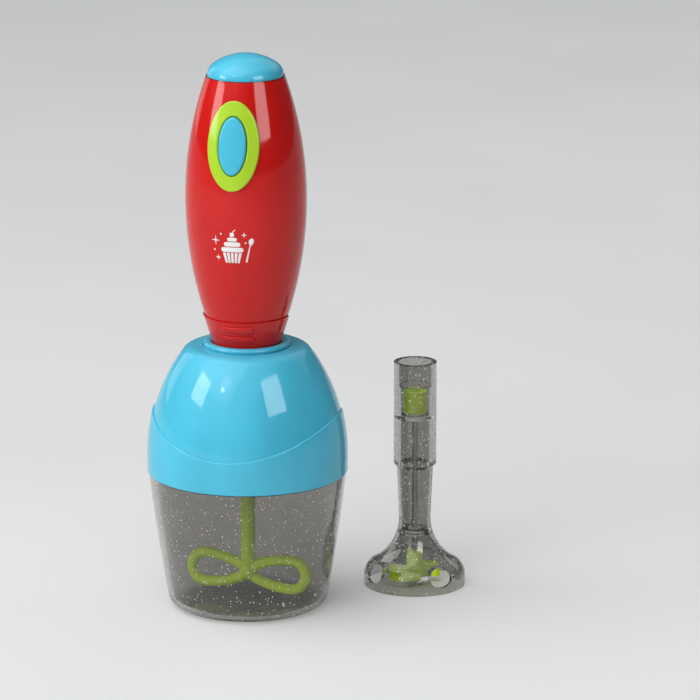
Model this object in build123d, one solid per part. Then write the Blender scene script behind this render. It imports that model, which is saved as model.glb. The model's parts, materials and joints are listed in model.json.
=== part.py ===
from build123d import *
import math
import os

# Toy hand mixer: a clear lidded bowl with a bow whisk, a battery handle that drives it from above,
# and a clear blending wand that plugs onto the same handle and stands beside the bowl.
# Millimetres. Z is up, the bowl's foot stands on Z = 0 around the main axis, the button faces -Y.

# Fits
cut_overrun = 5.0
seat_gap = 0.3
slide_gap = 0.3
running_gap = 0.05
trim_gap = 0.15

# Bowl
bowl_height = 69.5
bowl_rim_radius = 49.8
bowl_base_radius = 39.6
bowl_base_corner = 7.0
bowl_wall_bulge = 0.5
bowl_wall = 2.0
bowl_floor = 2.4
bowl_neck_height = 8.0
bowl_neck_wall = 1.8

# Lid
lid_height = 64.7
lid_wall = 2.0
lid_skirt_wall = 1.9
lid_dome_radius = 49.6
lid_crown_radius = 30.2
lid_skirt_height = 9.0
lid_crown_rounding = 7.0
band_rise = 0.9
band_front_height = 16.6
band_side_height = 34.7
band_edge_rounding = 0.6
band_rim_rounding = 0.7
collar_radius = 21.7
collar_bore_radius = 17.4
collar_rise = 2.5
collar_rounding = 1.6
collar_groove = 0.5
recess_depth = 3.0
recess_floor = 2.0
hub_radius = 10.5
hub_length = 33.0
hub_waist_radius = 7.0
lid_bush_radius = 7.6
lid_bush_length = 7.0
lid_bush_flange = 1.2

# Whisk and its drive cup
whisk_shaft_radius = 3.6
whisk_neck_radius = 3.0
whisk_boss_radius = 4.8
whisk_reach = 33.5
whisk_loop_height = 20.6
whisk_strand_radius = 2.7
whisk_root_spread = 2.8
whisk_floor_gap = 4.6
whisk_turn = -8.0
cup_radius = 5.9
cup_length = 11.0
cup_socket_depth = 5.2
cup_grip_depth = 4.5

# Handle shells
handle_length = 139.7
handle_foot_height = 18.7
handle_belly_height = 77.7
handle_end_radius = 15.2
handle_waist_radius = 21.0
handle_belly_radius = 30.25
handle_top_radius = 19.5
handle_wall = 2.0
handle_end_wall = 2.2
handle_end_rounding = 1.2
panel_rise = 0.8
thumb_rib_width = 16.5
thumb_rib_height = 3.0
thumb_rib_rise = 1.0
thumb_rib_rounding = 0.7
thumb_rib_low = 9.8
thumb_rib_pitch = 5.1
thumb_rib_count = 2
cap_radius = 19.0
cap_height = 10.8
cap_corner = 7.0
cap_wall = 1.8
cap_spigot_depth = 5.0

# Shell screws and their bosses
boss_radius = 3.2
boss_low_height = 35.7
boss_low_offset = 16.0
boss_high_drop = 15.0
boss_high_offset = 17.0
screw_radius = 1.3
screw_head_radius = 2.5
screw_head_length = 1.8
screw_seat_depth = 7.0
screw_grip = 8.0
screw_bore_gap = 0.3
screw_slot_length = 3.2
screw_slot_width = 0.7
screw_slot_depth = 0.9

# Nose and drive shaft
nose_radius = 8.0
nose_length = 12.0
nose_flange_radius = 11.0
nose_flange = 2.0
nose_bore_radius = 3.4
nose_bush_radius = 5.0
nose_bush_length = 5.0
drive_shaft_radius = 2.5
hex_across = 5.6
hex_gap = 0.25
hex_length = 7.0

# Gear train
gear_module = 0.5
pressure_angle = 25.0
addendum_share = 0.8
dedendum_share = 1.0
flank_step_shares = (0.0, 0.35, 0.7, 1.0)
gear_backlash = 0.12
large_teeth = 28
small_teeth = 12
gear_face = 4.0
pinion_face = 3.8
idler_step = 0.8
idler_pin_radius = 1.0
frame_height = 11.7
frame_thickness = 2.0
motor_plate_thickness = 2.5
pillar_radius = 2.2
pillar_circle = 13.5
pillar_angles = (110.0, 180.0, 250.0)
gear_screw_radius = 0.9
gear_screw_head_radius = 1.9
gear_screw_head_length = 1.3
gear_screw_grip = 6.0

# Motor
motor_radius = 10.05
motor_half_depth = 7.55
motor_length = 25.0
motor_nose_radius = 3.0
motor_nose_length = 1.6
motor_shaft_radius = 1.0
motor_shaft_inset = 3.0
motor_cap_length = 3.0
motor_cap_inset = 0.6
terminal_width = 2.4
terminal_thickness = 0.5
terminal_length = 2.0
terminal_offset = 6.0
motor_rib_width = 9.0
motor_rib_height = 3.0

# Battery bay
cell_radius = 7.25
cell_tip_radius = 2.75
cell_tip_length = 1.0
cell_spacing = 15.2
cell_depth = 11.5
cell_gap = 0.4
bay_height = 58.2
bay_crown_room = 23.0
bay_contact_room = 4.0
bay_wall = 2.4
bay_front_wall = 1.6
bay_ledge = 1.0
contact_thickness = 0.4
contact_width = 9.0
contact_bow = 3.0
cover_tab_radius = 4.6
cover_tab_drop = 6.0
cover_boss_radius = 5.8
cover_boss_start = 9.5
cover_pocket_depth = 4.2
cover_screw_sink = 0.6
cover_rib_thickness = 1.6
cover_rib_shares = (0.25, 0.75)
cover_corner = 2.5

# Button, bezel and switch
button_drop = 30.4
button_width = 14.0
button_length = 28.8
button_rise = 2.0
button_rounding = 1.4
button_depth = 5.9
button_flange = 1.5
button_flange_lip = 1.3
button_travel = 2.0
stem_radius = 2.6
stem_length = 1.5
bezel_width = 26.0
bezel_length = 44.5
bezel_rise = 1.3
bezel_rounding = 0.8
bezel_skirt_wall = 1.6
bezel_skirt_depth = 5.5
edge_sample_shares = (0.1, 0.35, 0.6, 0.85)
board_depth = 13.0
board_thickness = 1.6
board_width = 20.0
board_length = 50.0
post_radius = 2.8
post_offset = 21.8
board_screw_radius = 1.0
board_screw_head_radius = 2.1
board_screw_head_length = 1.3
board_screw_grip = 3.0
dome_radius = 5.6
dome_top_radius = 3.2
dome_skin = 0.8
dome_base = 0.8

# Lead wires
wire_radius = 0.6
wire_bend = 3.0
wire_slack = 7.0
wire_rise = 12.0
wire_end_drop = 19.0

# Blending wand
wand_right = 75.5
wand_back = 50.5
wand_height = 117.0
wand_guard_radius = 26.0
wand_guard_band = 5.0
wand_flare_height = 35.0
wand_flare_share = 0.24
wand_tube_radius = 8.1
wand_tube_top = 62.0
wand_tube_top_radius = 9.3
wand_socket_radius = 10.9
wand_socket_start = 64.0
wand_wall = 1.4
wand_web = 2.5
wand_low_web = 26.5
wand_socket_depth = 27.0
wand_cup_room_radius = 7.4
wand_window_width = 13.0
wand_window_height = 9.0
wand_window_level = 8.0
wand_window_count = 4
wand_window_turn = 45.0
wand_shaft_radius = 1.6
wand_bush_radius = 3.4
wand_bush_flange_radius = 5.2
wand_bush_flange = 0.8
blade_hub_radius = 4.2
blade_hub_top = 17.0
blade_floor_gap = 3.0
blade_arm_height = 6.0
blade_arm_width = 4.4
blade_reach = 13.0
blade_bend = 4.0
blade_turn = 20.0

# Heights that stack up from the table
lid_rim_z = bowl_height + seat_gap
lid_crown_z = lid_rim_z + lid_height
dome_centre_z = lid_rim_z + lid_skirt_height
recess_z = lid_crown_z - recess_depth
hub_bottom_z = recess_z - hub_length
lid_bush_top_z = hub_bottom_z + lid_bush_length
cup_bottom_z = lid_bush_top_z + seat_gap
whisk_shoulder_z = hub_bottom_z - lid_bush_flange - seat_gap
whisk_centre_z = bowl_floor + whisk_floor_gap + whisk_loop_height / 2
handle_end_z = recess_z + seat_gap
waist_z = handle_end_z + handle_foot_height
belly_z = handle_end_z + handle_belly_height
handle_top_z = handle_end_z + handle_length
nose_floor_z = handle_end_z + handle_end_wall
nose_end_z = handle_end_z - nose_length
hex_top_z = nose_end_z - seat_gap
frame_z = handle_end_z + frame_height
gear_z = frame_z + frame_thickness + seat_gap
idler_step_z = gear_z + gear_face + idler_step
motor_plate_z = idler_step_z + gear_face + seat_gap
motor_z = motor_plate_z + motor_plate_thickness
motor_top_z = motor_z + motor_length
bay_z = handle_end_z + bay_height
bay_top_z = handle_top_z - bay_crown_room
cell_z = bay_z + bay_contact_room
cell_length = bay_top_z - bay_contact_room - cell_tip_length - cell_z
button_z = handle_top_z - button_drop
cover_tab_z = bay_z - cover_tab_drop
wand_web_z = wand_height - wand_socket_depth - wand_web
wand_cup_z = wand_web_z + wand_web + wand_bush_flange + seat_gap

# Radii and widths that follow from mating pieces
band_radius = lid_dome_radius + band_rise
lid_skirt_radius = band_radius - lid_skirt_wall
bowl_neck_radius = lid_skirt_radius - slide_gap
nose_hole_radius = nose_radius + slide_gap
large_pitch_radius = gear_module * large_teeth / 2
small_pitch_radius = gear_module * small_teeth / 2
gear_distance = large_pitch_radius + small_pitch_radius
bay_half_width = cell_spacing / 2 + cell_radius + cell_gap
bay_front_y = cell_depth - cell_radius - cell_gap
cover_half_width = bay_half_width + bay_ledge
bezel_hole_width = button_width + 2 * slide_gap
bezel_hole_length = button_length + 2 * slide_gap
skirt_width = bezel_hole_width + 2 * bezel_skirt_wall
skirt_length = bezel_hole_length + 2 * bezel_skirt_wall

# Radii of the two arcs that swell from the handle's belly to its waist and to its top
lower_fall = handle_belly_radius - handle_waist_radius
upper_fall = handle_belly_radius - handle_top_radius
lower_swell = ((belly_z - waist_z) ** 2 + lower_fall ** 2) / (2 * lower_fall)
upper_swell = ((handle_top_z - belly_z) ** 2 + upper_fall ** 2) / (2 * upper_fall)

UPWARDS = (Align.CENTER, Align.CENTER, Align.MIN)
CORNERED = (Align.MIN, Align.MIN)


def turned(*lines):
    """Body of revolution about Z, from lines drawn as radius and height."""
    edges = [edge for line in lines for edge in line.edges()]
    return revolve(Plane.XZ * make_face(edges), Axis.Z)


def corner_sketch(low_x, low_y, high_x, high_y):
    """Rectangle between two opposite corners."""
    return Pos(low_x, low_y) * Rectangle(high_x - low_x, high_y - low_y, align=CORNERED)


def block(low, high):
    """Box between two opposite corners."""
    size = [high[i] - low[i] for i in range(3)]
    return Pos(*low) * Box(*size, align=(Align.MIN, Align.MIN, Align.MIN))


def rod(radius, bottom, top):
    """Upright cylinder on the main axis."""
    return Pos(0, 0, bottom) * Cylinder(radius, top - bottom, align=UPWARDS)


def tube(radius, bore, bottom, top):
    """Upright sleeve on the main axis."""
    ring = corner_sketch(bore, bottom, radius, top)
    return revolve(Plane.XZ * ring, Axis.Z)


def cross_rod(radius, x, z, start_y, end_y):
    """Cylinder along Y."""
    lying = Rot(-90, 0, 0) * Cylinder(radius, end_y - start_y, align=UPWARDS)
    return Pos(x, start_y, z) * lying


def hexagon(across, bottom, top):
    """Upright hexagonal bar, given by its width across flats."""
    outline = RegularPolygon(across / 2, 6, major_radius=False)
    return Pos(0, 0, bottom) * extrude(outline, top - bottom)


def rim_edges(part, radius, height):
    """Circular edges of a turned part at one radius and height."""
    near = seat_gap / 10
    circles = part.edges().filter_by(GeomType.CIRCLE)
    return [e for e in circles if abs(e.radius - radius) < near and abs(e.arc_center.Z - height) < near]


def handle_radius(height):
    """Outer radius of the handle at a height above the table."""
    if height < waist_z:
        share = (height - handle_end_z) / handle_foot_height
        return handle_end_radius + share * (handle_waist_radius - handle_end_radius)
    swell = upper_swell if height > belly_z else lower_swell
    return handle_belly_radius - swell + math.sqrt(swell ** 2 - (height - belly_z) ** 2)


def handle_form(grow, bottom, top):
    """Handle's body of revolution, its surface moved out by grow; it may run straight on past its top."""
    foot = (handle_radius(bottom) + grow, bottom)
    waist = (handle_waist_radius + grow, waist_z)
    belly = (handle_belly_radius + grow, belly_z)
    crown = (handle_top_radius + grow, handle_top_z)
    crest = [crown, (crown[0], top)] if top > handle_top_z else [crown]
    return turned(
        Polyline((0, top), (0, bottom), foot, waist),
        TangentArc(belly, waist, tangent=(0, -1)),
        TangentArc(belly, crown, tangent=(0, 1)),
        Polyline(*crest, (0, top)),
    )


def handle_solid(grow):
    """Whole handle body, grown by a distance."""
    return handle_form(grow, handle_end_z, handle_top_z)


def half(part, side):
    """Front half, on -Y, or rear half of a part."""
    return split(part, bisect_by=Plane.XZ, keep=side)


def mixing_bowl():
    """Clear bowl with a flat foot, a slightly bulged wall and a neck that the lid drops over."""
    heel = (bowl_base_radius, 0)
    rim = (bowl_rim_radius, bowl_height)
    neck_top = bowl_height + bowl_neck_height
    outer_middle = ((heel[0] + rim[0]) / 2 + bowl_wall_bulge, bowl_height / 2)
    outside = turned(
        ThreePointArc(heel, outer_middle, rim),
        Polyline(rim, (bowl_neck_radius, bowl_height), (bowl_neck_radius, neck_top)),
        Polyline((bowl_neck_radius, neck_top), (0, neck_top), (0, 0), heel),
    )
    outside = fillet(rim_edges(outside, bowl_base_radius, 0), bowl_base_corner)
    sole = (bowl_base_radius - bowl_wall, bowl_floor)
    mouth = (bowl_neck_radius - bowl_neck_wall, neck_top)
    inner_middle = ((sole[0] + mouth[0]) / 2 + bowl_wall_bulge, (sole[1] + mouth[1]) / 2)
    over = neck_top + cut_overrun
    hollow = turned(
        ThreePointArc(sole, inner_middle, mouth),
        Polyline(mouth, (mouth[0], over), (0, over), (0, bowl_floor), sole),
    )
    hollow = fillet(rim_edges(hollow, sole[0], bowl_floor), bowl_base_corner - bowl_wall)
    return outside - hollow


def dome_form(inset):
    """Straight skirt under an arched dome that is cut flat at its crown, drawn in by a wall's thickness."""
    fall = lid_dome_radius - lid_crown_radius
    drop = lid_crown_z - dome_centre_z
    swell = (drop ** 2 + fall ** 2) / (2 * fall)
    rise = drop - inset
    crown_radius = lid_dome_radius - swell + math.sqrt((swell - inset) ** 2 - rise ** 2)
    shoulder = (lid_dome_radius - inset, dome_centre_z)
    crown = (crown_radius, lid_crown_z - inset)
    return turned(
        Polyline((0, crown[1]), (0, lid_rim_z), (shoulder[0], lid_rim_z), shoulder),
        TangentArc(shoulder, crown, tangent=(0, 1)),
        Line(crown, (0, crown[1])),
    )


def lid_band():
    """Raised band that follows the dome, whose upper edge dips at the front and back like a saddle."""
    ring = dome_form(-band_rise)
    side_z = lid_rim_z + band_side_height
    reach = band_radius
    front = (0, lid_rim_z + band_front_height)
    left = (-reach, side_z)
    right = (reach, side_z)
    outline = [
        ThreePointArc(left, front, right),
        *Polyline(right, (reach, lid_rim_z), (-reach, lid_rim_z), left).edges(),
    ]
    saddle = extrude(Plane.XZ * make_face(outline), reach + cut_overrun, both=True)
    band = fillet(rim_edges(ring & saddle, band_radius, lid_rim_z), band_rim_rounding)
    high_edges = [e for e in band.edges() if e.center().Z > lid_rim_z + band_rim_rounding + seat_gap]
    upper = [e for e in high_edges if e.length > band_radius]
    return fillet(upper, band_edge_rounding)


def lid_dome():
    """Domed lid with a collar and recess for the handle, and a hub tube that guides nose and whisk."""
    outside = dome_form(0)
    outside = fillet(rim_edges(outside, lid_crown_radius, lid_crown_z), lid_crown_rounding) + lid_band()
    collar_top = lid_crown_z + collar_rise
    collar = tube(collar_radius, collar_bore_radius, recess_z, collar_top)
    edges = rim_edges(collar, collar_radius, collar_top) + rim_edges(collar, collar_bore_radius, collar_top)
    outside += fillet(edges, collar_rounding)
    outside -= Pos(0, 0, lid_crown_z) * Torus(collar_radius, collar_groove)
    cavity = dome_form(lid_wall)
    cavity -= rod(collar_bore_radius + lid_wall, recess_z - recess_floor, lid_crown_z)
    cavity -= rod(hub_radius, hub_bottom_z, lid_crown_z)
    neck_room = rod(lid_skirt_radius, lid_rim_z - cut_overrun, lid_rim_z + bowl_neck_height + seat_gap)
    recess = rod(collar_bore_radius, recess_z, collar_top + cut_overrun)
    nose_room = rod(nose_hole_radius, nose_end_z - seat_gap, recess_z + cut_overrun)
    cup_room = rod(hub_waist_radius, hub_bottom_z, recess_z)
    bush_room = rod(lid_bush_radius, hub_bottom_z - cut_overrun, lid_bush_top_z)
    return outside - cavity - neck_room - recess - nose_room - cup_room - bush_room


def lid_bush():
    """Flanged bush pressed into the lid's hub tube, in which the whisk turns."""
    sleeve = tube(lid_bush_radius, whisk_neck_radius + running_gap, hub_bottom_z, lid_bush_top_z)
    flange_z = hub_bottom_z - lid_bush_flange
    return sleeve + tube(hub_radius, whisk_neck_radius + running_gap, flange_z, hub_bottom_z)


def drive_cup(bottom, grip_radius):
    """Cup with a hexagonal socket on top, fixed on a round shaft below."""
    top = bottom + cup_length
    cup = rod(cup_radius, bottom, top)
    cup -= hexagon(hex_across + 2 * hex_gap, top - cup_socket_depth, top + cut_overrun)
    return cup - rod(grip_radius, bottom - cut_overrun, bottom + cup_grip_depth)


def whisk():
    """One-piece whisk: a straight shaft with two teardrop loops in one upright plane."""
    bend = whisk_loop_height / 2 - whisk_strand_radius
    bend_x = whisk_reach - whisk_strand_radius - bend
    root_x = whisk_root_spread
    high = (bend_x, bend)
    low = (bend_x, -bend)
    path = Wire([
        TangentArc(high, (root_x, whisk_root_spread), tangent=(-1, 0)),
        ThreePointArc(high, (bend_x + bend, 0), low),
        TangentArc(low, (root_x, -whisk_root_spread), tangent=(-1, 0)),
    ])
    path = Plane.XZ * path
    start = Plane(origin=path @ 0, z_dir=path % 0)
    loop = sweep(start * Circle(whisk_strand_radius), path=path)
    body = Pos(0, 0, whisk_centre_z) * (loop + Rot(0, 0, 180) * loop + Sphere(whisk_boss_radius))
    body += rod(whisk_shaft_radius, whisk_centre_z, whisk_shoulder_z)
    body += rod(whisk_neck_radius, whisk_shoulder_z, cup_bottom_z + cup_grip_depth)
    return Rot(0, 0, whisk_turn) * body


def boss_places():
    """Places of the four shell screws, as X and height."""
    low_z = handle_end_z + boss_low_height
    high_z = handle_top_z - boss_high_drop
    low = [(side * boss_low_offset, low_z) for side in (-1, 1)]
    return low + [(side * boss_high_offset, high_z) for side in (-1, 1)]


def shell_blank():
    """Hollow handle before it is parted, open at its top, with a hole for the nose in its end wall."""
    outside = handle_solid(0)
    outside = fillet(rim_edges(outside, handle_end_radius, handle_end_z), handle_end_rounding)
    hollow = handle_form(-handle_wall, nose_floor_z, handle_top_z + cut_overrun)
    return outside - hollow - rod(nose_radius + trim_gap, handle_end_z - cut_overrun, nose_floor_z)


def shell_inside():
    """Space that a rib or boss may fill so that it roots in the middle of the handle's wall."""
    return handle_form(-handle_wall / 2, nose_floor_z, handle_top_z)


def motor_rib(side):
    """Rib from the shell's wall to the motor's flat side."""
    rib_z = (motor_z + motor_top_z) / 2
    low_y = motor_half_depth + trim_gap
    rib = block(
        (-motor_rib_width / 2, low_y, rib_z - motor_rib_height / 2),
        (motor_rib_width / 2, handle_belly_radius, rib_z + motor_rib_height / 2),
    )
    return rib if side > 0 else mirror(rib, Plane.XZ)


def button_plane():
    """Plane that touches the handle's front at the middle of the button, its normal pointing out."""
    tilt = math.asin((button_z - belly_z) / upper_swell)
    origin = (0, -handle_radius(button_z), button_z)
    return Plane(origin=origin, x_dir=(1, 0, 0), z_dir=(0, -math.cos(tilt), math.sin(tilt)))


def oval(width, length, low, high):
    """Oval prism square to the button plane, between two levels along its normal."""
    outline = Ellipse(width / 2, length / 2)
    return button_plane() * (Pos(0, 0, low) * extrude(outline, high - low))


def button_rod(radius, along, low, high):
    """Round bar square to the button plane, at a distance along the handle from the button's middle."""
    return button_plane() * (Pos(0, along, low) * Cylinder(radius, high - low, align=UPWARDS))


def skin_edges(part, grow):
    """Edges of a part that lie all along on the handle's surface moved out by grow."""
    near = seat_gap / 10
    found = []
    for edge in part.edges():
        points = [edge @ share for share in edge_sample_shares]
        misses = [abs(math.hypot(p.X, p.Y) - handle_radius(p.Z) - grow) for p in points]
        if max(misses) < near:
            found.append(edge)
    return found


def thumb_ribs():
    """Two rounded grip ribs across the foot of the handle's front."""
    ribs = []
    grow = panel_rise + thumb_rib_rise
    slab = handle_solid(grow) - handle_solid(-handle_wall / 2)
    for i in range(thumb_rib_count):
        z = handle_end_z + thumb_rib_low + i * thumb_rib_pitch
        bar = Plane.XZ * (Pos(0, z) * SlotOverall(thumb_rib_width, thumb_rib_height))
        rib = extrude(bar, handle_waist_radius + cut_overrun) & slab
        ribs.append(fillet(skin_edges(rib, grow), thumb_rib_rounding))
    return ribs


def front_shell():
    """Front half of the handle with the foot panel, grip ribs, button hole, switch posts and bosses."""
    shell = half(shell_blank(), Keep.TOP)
    foot = handle_form(panel_rise, handle_end_z + handle_end_rounding, handle_top_z)
    foot = foot & rod(handle_belly_radius, handle_end_z, waist_z)
    panel = half(foot - handle_form(-handle_wall / 2, handle_end_z, handle_top_z), Keep.TOP)
    shell += panel
    for rib in thumb_ribs():
        shell += rib
    inside = shell_inside()
    for x, z in boss_places():
        boss = cross_rod(boss_radius, x, z, -handle_belly_radius, 0) & inside
        shell += boss
    for along in (-post_offset, post_offset):
        shell += button_rod(post_radius, along, -board_depth, bezel_rise) & inside
    shell += motor_rib(-1) & inside
    shell -= oval(skirt_width + 2 * trim_gap, skirt_length + 2 * trim_gap, -board_depth, cut_overrun)
    for x, z in boss_places():
        shell -= cross_rod(screw_radius, x, z, -screw_grip - trim_gap, cut_overrun)
    for along in (-post_offset, post_offset):
        top = board_screw_grip + trim_gap - board_depth
        shell -= button_rod(board_screw_radius, along, -board_depth - cut_overrun, top)
    return shell


def cover_outline(clearance):
    """Outline of the battery cover seen from behind, drawn as X and height and drawn in by a clearance."""
    half_width = cover_half_width - clearance
    low = bay_z - bay_ledge + clearance
    high = bay_top_z + bay_ledge - clearance
    panel = corner_sketch(-half_width, low, half_width, high)
    panel = fillet(panel.vertices(), cover_corner)
    tab_radius = cover_tab_radius - clearance
    tab = Pos(0, cover_tab_z) * Circle(tab_radius)
    tab += corner_sketch(-tab_radius, cover_tab_z, tab_radius, low + cover_corner)
    return panel + tab


def cover_prism(clearance):
    """Straight cut for the battery cover, from the bay out through the rear wall."""
    outline = Plane.XZ * cover_outline(clearance)
    return extrude(outline, -handle_belly_radius - cut_overrun)


def rear_shell():
    """Rear half of the handle with the battery bay, its cover opening and the bosses for all screws."""
    shell = half(shell_blank(), Keep.BOTTOM)
    inside = shell_inside()
    bay_reach = bay_half_width + bay_wall
    bay = block(
        (-bay_reach, bay_front_y - bay_front_wall, bay_z - bay_wall),
        (bay_reach, handle_belly_radius, bay_top_z + bay_wall),
    )
    shell += bay & inside
    shell += cross_rod(cover_boss_radius, 0, cover_tab_z, cover_boss_start, handle_belly_radius) & inside
    for x, z in boss_places():
        shell += cross_rod(boss_radius, x, z, 0, handle_belly_radius) & inside
    shell += motor_rib(1) & inside
    deep = handle_belly_radius + cut_overrun
    shell -= block((-bay_half_width, bay_front_y, bay_z), (bay_half_width, deep, bay_top_z))
    shell -= cover_prism(0) - handle_form(-handle_wall, nose_floor_z, handle_top_z)
    pocket_y = handle_radius(cover_tab_z) - cover_pocket_depth - seat_gap
    shell -= cross_rod(cover_tab_radius, 0, cover_tab_z, pocket_y, deep)
    shell -= cross_rod(screw_radius + running_gap, 0, cover_tab_z, cover_boss_start + bay_wall, deep)
    for x, z in boss_places():
        shell -= cross_rod(screw_radius + screw_bore_gap, x, z, -cut_overrun, deep)
        shell -= cross_rod(screw_head_radius + screw_bore_gap, x, z, screw_seat_depth, deep)
    return shell


def cross_screw(x, z, tip_y, head_y):
    """Screw along Y with a cross-slotted head that faces the rear."""
    face_y = head_y + screw_head_length
    screw = cross_rod(screw_radius, x, z, tip_y, head_y)
    screw += cross_rod(screw_head_radius, x, z, head_y, face_y)
    low_y = face_y - screw_slot_depth
    for along, across in ((screw_slot_length, screw_slot_width), (screw_slot_width, screw_slot_length)):
        low = (x - along / 2, low_y, z - across / 2)
        screw -= block(low, (x + along / 2, face_y + cut_overrun, z + across / 2))
    return screw


def shell_screws():
    """Four screws that draw the rear half onto the front half."""
    return [cross_screw(x, z, -screw_grip, screw_seat_depth) for x, z in boss_places()]


def cap_arcs(width, height, corner):
    """Two tangent arcs from a vertical side over a corner to a level crown on the axis."""
    side = width - corner
    crown = (side ** 2 + height ** 2 - corner ** 2) / (2 * (height - corner))
    lean = math.atan2(crown - height, side)
    joint = (side + corner * math.cos(lean), handle_top_z + corner * math.sin(lean))
    return [
        TangentArc((width, handle_top_z), joint, tangent=(0, 1)),
        TangentArc((0, handle_top_z + height), joint, tangent=(1, 0)),
    ]


def top_cap():
    """Domed cap with a spigot that closes the handle's top."""
    inner_radius = cap_radius - 2 * cap_wall
    inner_height = cap_height - cap_wall
    # The handle narrows upwards, so a straight spigot of its top bore clears the wall below.
    spigot_radius = handle_top_radius - handle_wall - trim_gap
    low = handle_top_z - cap_spigot_depth
    return turned(
        *cap_arcs(cap_radius, cap_height, cap_corner),
        *cap_arcs(inner_radius, inner_height, cap_corner - cap_wall),
        Line((0, handle_top_z + inner_height), (0, handle_top_z + cap_height)),
        Polyline(
            (inner_radius, handle_top_z), (inner_radius, low), (spigot_radius, low),
            (spigot_radius, handle_top_z), (cap_radius, handle_top_z),
        ),
    )


def button_bezel():
    """Oval trim ring that follows the handle's surface, with a skirt through the front shell."""
    proud = handle_solid(bezel_rise)
    ring = oval(bezel_width, bezel_length, -board_depth, cut_overrun) & proud
    ring -= handle_solid(0)
    ring += oval(skirt_width, skirt_length, -bezel_skirt_depth, cut_overrun) & proud
    ring -= oval(bezel_hole_width, bezel_hole_length, -board_depth, cut_overrun)
    return fillet(skin_edges(ring, bezel_rise), bezel_rounding)


def button():
    """Oval push button with a lip behind the bezel and a stem that works the switch."""
    cap = oval(button_width, button_length, -button_depth, cut_overrun) & handle_solid(button_rise)
    cap = fillet(skin_edges(cap, button_rise), button_rounding)
    lip = 2 * button_flange_lip
    flange_low = -button_depth - button_flange
    cap += oval(bezel_hole_width + lip, bezel_hole_length + lip, flange_low, -button_depth)
    return cap + button_rod(stem_radius, 0, flange_low - stem_length, flange_low)


def switch_board():
    """Contact board behind the button, on two posts of the front shell."""
    plate = Pos(0, 0, -board_depth - board_thickness) * extrude(
        RectangleRounded(board_width, board_length, post_radius), board_thickness
    )
    plate = button_plane() * plate
    for along in (-post_offset, post_offset):
        plate -= button_rod(board_screw_radius + running_gap, along, -board_depth - cut_overrun, 0)
    return plate


def switch_screws():
    """Two screws that hold the contact board on its posts."""
    back = -board_depth - board_thickness
    screws = []
    for along in (-post_offset, post_offset):
        shank = button_rod(board_screw_radius, along, back, board_screw_grip - board_depth)
        head = button_rod(board_screw_head_radius, along, back - board_screw_head_length, back)
        screws.append(shank + head)
    return screws


def rubber_dome():
    """Rubber dome on the contact board that returns the button, with a contact pill under its crown."""
    height = board_depth - button_depth - button_flange - stem_length - seat_gap
    inner = height - dome_skin
    pill_gap = button_travel - 2 * seat_gap
    skin = turned(Polyline(
        (0, pill_gap), (dome_top_radius - dome_skin, pill_gap),
        (dome_top_radius - dome_skin, inner), (dome_radius - dome_skin, 0),
        (dome_radius + dome_base, 0), (dome_radius + dome_base, dome_base), (dome_radius, dome_base),
        (dome_top_radius, height), (0, height), (0, pill_gap),
    ))
    return button_plane() * (Pos(0, 0, -board_depth) * skin)


def nose_spigot():
    """Fixed nose that plugs the handle into the lid or the wand."""
    top = nose_floor_z + nose_flange
    nose = rod(nose_radius, nose_end_z, top) + rod(nose_flange_radius, nose_floor_z, top)
    nose -= rod(nose_bore_radius, nose_end_z - cut_overrun, top + cut_overrun)
    return nose - rod(nose_bush_radius, nose_end_z - cut_overrun, nose_end_z + nose_bush_length)


def nose_bush():
    """Bush in the nose's mouth that carries the drive shaft."""
    bore = drive_shaft_radius + running_gap
    return tube(nose_bush_radius, bore, nose_end_z, nose_end_z + nose_bush_length)


def drive_shaft():
    """Output shaft with a hexagonal tip that enters the drive cups."""
    tip_bottom = hex_top_z - hex_length
    shaft = rod(drive_shaft_radius, hex_top_z, gear_z + gear_face)
    return shaft + hexagon(hex_across, tip_bottom, hex_top_z)


def involute(angle):
    """Involute function of a pressure angle in radians."""
    return math.tan(angle) - angle


def gear_outline(teeth, phase):
    """Involute spur gear outline; phase turns its first tooth, in tooth pitches."""
    pitch = gear_module * teeth / 2
    base = pitch * math.cos(math.radians(pressure_angle))
    tip = pitch + addendum_share * gear_module
    root = pitch - dedendum_share * gear_module
    flank = max(base, root)
    half_tooth = math.pi / (2 * teeth) - gear_backlash / (2 * pitch)
    at_pitch = involute(math.radians(pressure_angle))
    side = [(root, half_tooth + at_pitch - involute(math.acos(base / flank)))] if root < base else []
    for share in flank_step_shares:
        radius = flank + share * (tip - flank)
        side.append((radius, half_tooth + at_pitch - involute(math.acos(base / radius))))
    points = []
    for tooth in range(teeth):
        middle = 2 * math.pi * (tooth + phase) / teeth
        rising = [(radius, middle - angle) for radius, angle in side]
        falling = [(radius, middle + angle) for radius, angle in reversed(side)]
        points += [(radius * math.cos(a), radius * math.sin(a)) for radius, a in rising + falling]
    return make_face(Polyline(*points, close=True).edges())


def gear(teeth, phase, bottom, face):
    """Upright spur gear on the main axis."""
    return Pos(0, 0, bottom) * extrude(gear_outline(teeth, phase), face)


def output_gear():
    """Large gear fixed on the drive shaft."""
    return gear(large_teeth, 0, gear_z, gear_face) - rod(drive_shaft_radius, frame_z, motor_z)


def idler_gear():
    """Two-step gear: its small step drives the output gear, its large step is driven by the motor."""
    # A gap of each step faces the main axis, where a tooth of its mate points.
    small = gear(small_teeth, gap_phase(small_teeth), gear_z, gear_face + idler_step)
    large = gear(large_teeth, gap_phase(large_teeth), idler_step_z, gear_face)
    body = small + large - rod(idler_pin_radius + running_gap, frame_z, motor_z)
    return Pos(gear_distance, 0, 0) * body


def gap_phase(teeth):
    """Phase that puts a tooth gap of an even-toothed gear on the side that faces -X."""
    return 0.5 + (teeth / 2) % 1


def motor_pinion():
    """Small gear on the motor's shaft."""
    bottom = idler_step_z + gear_face - pinion_face
    return gear(small_teeth, 0, bottom, pinion_face) - rod(motor_shaft_radius, frame_z, motor_z)


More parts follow.
